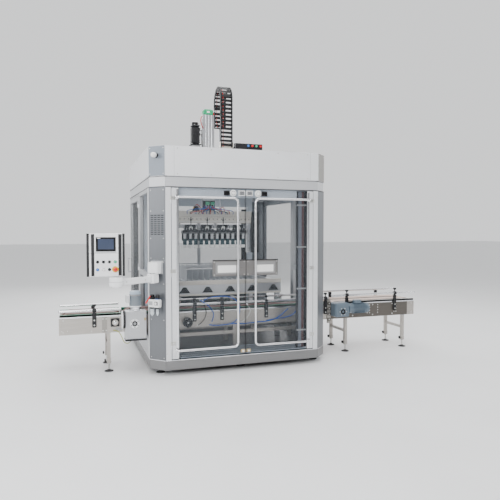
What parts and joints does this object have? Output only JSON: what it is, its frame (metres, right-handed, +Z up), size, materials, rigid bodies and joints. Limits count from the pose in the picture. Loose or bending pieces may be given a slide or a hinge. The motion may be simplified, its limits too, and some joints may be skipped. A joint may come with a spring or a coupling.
{
  "type": "packaging machine",
  "caption": "Enclosed gantry machine that lifts rows of bottles by their caps into crates, with glazed doors, a through conveyor, a swing-arm operator panel and an air unit.",
  "frame": {"origin": "on the floor, at the centre of the machine's bounding rectangle, conveyors and operator panel included", "axes": "+X the way the crates run, from the infeed on the left to the outfeed on the right; +Y to the back; +Z up; front doors face -Y"},
  "size_m": [4.63, 2.79, 3.5084],
  "materials": {
    "plinth_steel": "satin",
    "grating": "ribbed",
    "foot_rubber": "matte",
    "cabinet_steel": "satin",
    "header_paint": "satin",
    "roof_sheet": "satin",
    "clear_pane": "clear",
    "gantry_paint": "satin",
    "black_metal": "satin",
    "table_metal": "satin",
    "lane_plastic": "matte",
    "conveyor_steel": "satin",
    "chain_plastic": "matte",
    "motor_paint": "semi-gloss",
    "air_unit_body": "satin",
    "arm_paint": "satin",
    "lamp_lens": "gloss",
    "hose_blue": "gloss",
    "earth_insulation": "satin",
    "hinge_steel": "satin",
    "beam_paint": "satin",
    "servo_paint": "satin",
    "energy_chain": "matte",
    "lift_profile": "anodised",
    "valve_green": "satin",
    "head_black": "anodised",
    "gripper_teal": "satin",
    "knob_black": "satin",
    "stop_steel": "satin",
    "lever_red": "gloss",
    "door_steel": "satin",
    "panel_white": "satin",
    "button_green": "gloss",
    "button_blue": "gloss",
    "button_white": "gloss"
  },
  "bodies": {
    "cabinet": {"base_frame": "plinth_steel", "floor_grating": "grating", "levelling_feet": "foot_rubber", "corner_columns": "cabinet_steel", "header_fascia": "header_paint", "header_band": "header_paint", "roof_panels": "roof_sheet", "side_frames": "cabinet_steel", "fixed_glazing": "clear_pane", "gantry_frame": "gantry_paint", "y_drive": "black_metal", "bottle_table": "table_metal", "lane_guides": "lane_plastic", "conveyor_frames": "conveyor_steel", "conveyor_chains": "chain_plastic", "guide_rails": "conveyor_steel", "conveyor_gearmotors": "motor_paint", "air_unit": "air_unit_body", "hmi_bracket": "arm_paint", "warning_lamp": "lamp_lens", "air_hoses": "hose_blue", "earth_cable": "earth_insulation", "door_hinges": "hinge_steel"},
    "y_carriage": {"y_bridge": "beam_paint", "z_servo": "servo_paint"},
    "chain_loop": {"z_chain_loop": "energy_chain"},
    "z_axis": {"z_column": "lift_profile", "head_beam": "beam_paint", "valve_island": "valve_green", "head_group_4": "head_black"},
    "head_carriage_1": {"head_group_1": "head_black"},
    "head_carriage_2": {"head_group_2": "head_black"},
    "head_carriage_3": {"head_group_3": "head_black"},
    "gripper_row_1": {"grippers_1": "gripper_teal"},
    "gripper_row_2": {"grippers_2": "gripper_teal"},
    "gripper_row_3": {"grippers_3": "gripper_teal"},
    "gripper_row_4": {"grippers_4": "gripper_teal"},
    "rear_rail": {"guide_rail_rear": "conveyor_steel"},
    "rail_handwheel": {"handwheel": "knob_black"},
    "stop_blade": {"crate_stop": "stop_steel"},
    "infeed_drive_shaft": {"drive_shaft": "knob_black"},
    "outfeed_drive_shaft": {"outfeed_shaft": "knob_black"},
    "shutoff_lever": {"air_lever": "lever_red"},
    "pressure_knob": {"air_knob": "knob_black"},
    "left_door": {"door_left_frame": "door_steel", "door_left_glass": "clear_pane"},
    "right_door": {"door_right_frame": "door_steel", "door_right_glass": "clear_pane"},
    "side_door": {"side_door_frame": "door_steel", "side_door_glass": "clear_pane"},
    "panel_arm": {"hmi_arm": "arm_paint"},
    "panel_case": {"hmi_case": "panel_white"},
    "push_button_black_1": {"button_black_1": "knob_black"},
    "push_button_black_2": {"button_black_2": "knob_black"},
    "push_button_black_3": {"button_black_3": "knob_black"},
    "push_button_green": {"button_green": "button_green"},
    "push_button_blue": {"button_blue": "button_blue"},
    "push_button_white": {"button_white": "button_white"},
    "push_button_black_4": {"button_black_4": "knob_black"},
    "push_emergency_stop": {"emergency_stop": "lever_red"}
  },
  "joints": [
    {"name": "left_door_swing", "type": "hinge", "parent": "cabinet", "child": "left_door", "pos_m": [-1.144, -1.003, 1.1], "axis": [0, 0, -1], "range_deg": [0, 105]},
    {"name": "right_door_swing", "type": "hinge", "parent": "cabinet", "child": "right_door", "pos_m": [0.574, -1.003, 1.1], "axis": [0, 0, 1], "range_deg": [0, 105]},
    {"name": "side_door_swing", "type": "hinge", "parent": "cabinet", "child": "side_door", "pos_m": [-1.368, 0.11, 1.1], "axis": [0, 0, 1], "range_deg": [0, 90]},
    {"name": "gantry_travel", "type": "slide", "parent": "cabinet", "child": "y_carriage", "axis": [0, -1, 0], "range_m": [0, 0.63]},
    {"name": "head_lift", "type": "slide", "parent": "y_carriage", "child": "z_axis", "axis": [0, 0, -1], "range_m": [0, 0.4]},
    {"name": "chain_roll", "type": "slide", "parent": "y_carriage", "child": "chain_loop", "axis": [0, 0, -1], "range_m": [0, 0.2]},
    {"name": "spread_1", "type": "slide", "parent": "z_axis", "child": "head_carriage_1", "axis": [-1, 0, 0], "range_m": [0, 0.045]},
    {"name": "spread_2", "type": "slide", "parent": "z_axis", "child": "head_carriage_2", "axis": [-1, 0, 0], "range_m": [0, 0.03]},
    {"name": "spread_3", "type": "slide", "parent": "z_axis", "child": "head_carriage_3", "axis": [-1, 0, 0], "range_m": [0, 0.015]},
    {"name": "gripper_float_1", "type": "slide", "parent": "head_carriage_1", "child": "gripper_row_1", "axis": [0, 0, 1], "range_m": [0, 0.03], "stiffness_N_per_m": 400},
    {"name": "gripper_float_2", "type": "slide", "parent": "head_carriage_2", "child": "gripper_row_2", "axis": [0, 0, 1], "range_m": [0, 0.03], "stiffness_N_per_m": 400},
    {"name": "gripper_float_3", "type": "slide", "parent": "head_carriage_3", "child": "gripper_row_3", "axis": [0, 0, 1], "range_m": [0, 0.03], "stiffness_N_per_m": 400},
    {"name": "gripper_float_4", "type": "slide", "parent": "z_axis", "child": "gripper_row_4", "axis": [0, 0, 1], "range_m": [0, 0.03], "stiffness_N_per_m": 400},
    {"name": "rail_adjust", "type": "hinge", "parent": "cabinet", "child": "rail_handwheel", "pos_m": [-0.882, -0.63, 0.516], "axis": [0, -1, 0], "range_deg": [0, 1080]},
    {"name": "rear_rail_shift", "type": "slide", "parent": "cabinet", "child": "rear_rail", "axis": [0, -1, 0], "range_m": [0, 0.03]},
    {"name": "crate_stop_lift", "type": "slide", "parent": "cabinet", "child": "stop_blade", "axis": [0, 0, 1], "range_m": [0, 0.06]},
    {"name": "infeed_drive_turn", "type": "hinge", "parent": "cabinet", "child": "infeed_drive_shaft", "pos_m": [-1.51, -0.365, 0.56], "axis": [0, 1, 0], "continuous": true},
    {"name": "outfeed_drive_turn", "type": "hinge", "parent": "cabinet", "child": "outfeed_drive_shaft", "pos_m": [1.125, -0.365, 0.56], "axis": [0, 1, 0], "continuous": true},
    {"name": "shutoff_turn", "type": "hinge", "parent": "cabinet", "child": "shutoff_lever", "pos_m": [-1.39705, -0.90194, 0.816], "axis": [-0.7071, -0.7071, 0], "range_deg": [0, 90]},
    {"name": "pressure_turn", "type": "hinge", "parent": "cabinet", "child": "pressure_knob", "pos_m": [-1.28816, -0.97548, 0.88], "axis": [0, 0, 1], "range_deg": [-540, 540]},
    {"name": "panel_arm_swing", "type": "hinge", "parent": "cabinet", "child": "panel_arm", "pos_m": [-1.3355, -0.9705, 1.09], "axis": [0, 0, 1], "range_deg": [-40, 25]},
    {"name": "panel_turn", "type": "hinge", "parent": "panel_arm", "child": "panel_case", "pos_m": [-1.749, -1.325, 1.12], "axis": [0, 0, 1], "range_deg": [-60, 60]},
    {"name": "press_button_black_1", "type": "slide", "parent": "panel_case", "child": "push_button_black_1", "axis": [0, 1, 0], "range_m": [0, 0.004], "stiffness_N_per_m": 800},
    {"name": "press_button_black_2", "type": "slide", "parent": "panel_case", "child": "push_button_black_2", "axis": [0, 1, 0], "range_m": [0, 0.004], "stiffness_N_per_m": 800},
    {"name": "press_button_black_3", "type": "slide", "parent": "panel_case", "child": "push_button_black_3", "axis": [0, 1, 0], "range_m": [0, 0.004], "stiffness_N_per_m": 800},
    {"name": "press_button_green", "type": "slide", "parent": "panel_case", "child": "push_button_green", "axis": [0, 1, 0], "range_m": [0, 0.004], "stiffness_N_per_m": 800},
    {"name": "press_button_blue", "type": "slide", "parent": "panel_case", "child": "push_button_blue", "axis": [0, 1, 0], "range_m": [0, 0.004], "stiffness_N_per_m": 800},
    {"name": "press_button_white", "type": "slide", "parent": "panel_case", "child": "push_button_white", "axis": [0, 1, 0], "range_m": [0, 0.004], "stiffness_N_per_m": 800},
    {"name": "press_button_black_4", "type": "slide", "parent": "panel_case", "child": "push_button_black_4", "axis": [0, 1, 0], "range_m": [0, 0.004], "stiffness_N_per_m": 800},
    {"name": "press_emergency_stop", "type": "slide", "parent": "panel_case", "child": "push_emergency_stop", "axis": [0, 1, 0], "range_m": [0, 0.006], "stiffness_N_per_m": 800}
  ],
  "couplings": [
    {"joint": "chain_roll", "follows": "head_lift", "ratio": 0.5},
    {"joint": "spread_2", "follows": "spread_1", "ratio": 0.6666},
    {"joint": "spread_3", "follows": "spread_1", "ratio": 0.3333},
    {"joint": "rail_adjust", "follows": "rear_rail_shift", "rad_per_m": 628.32}
  ]
}
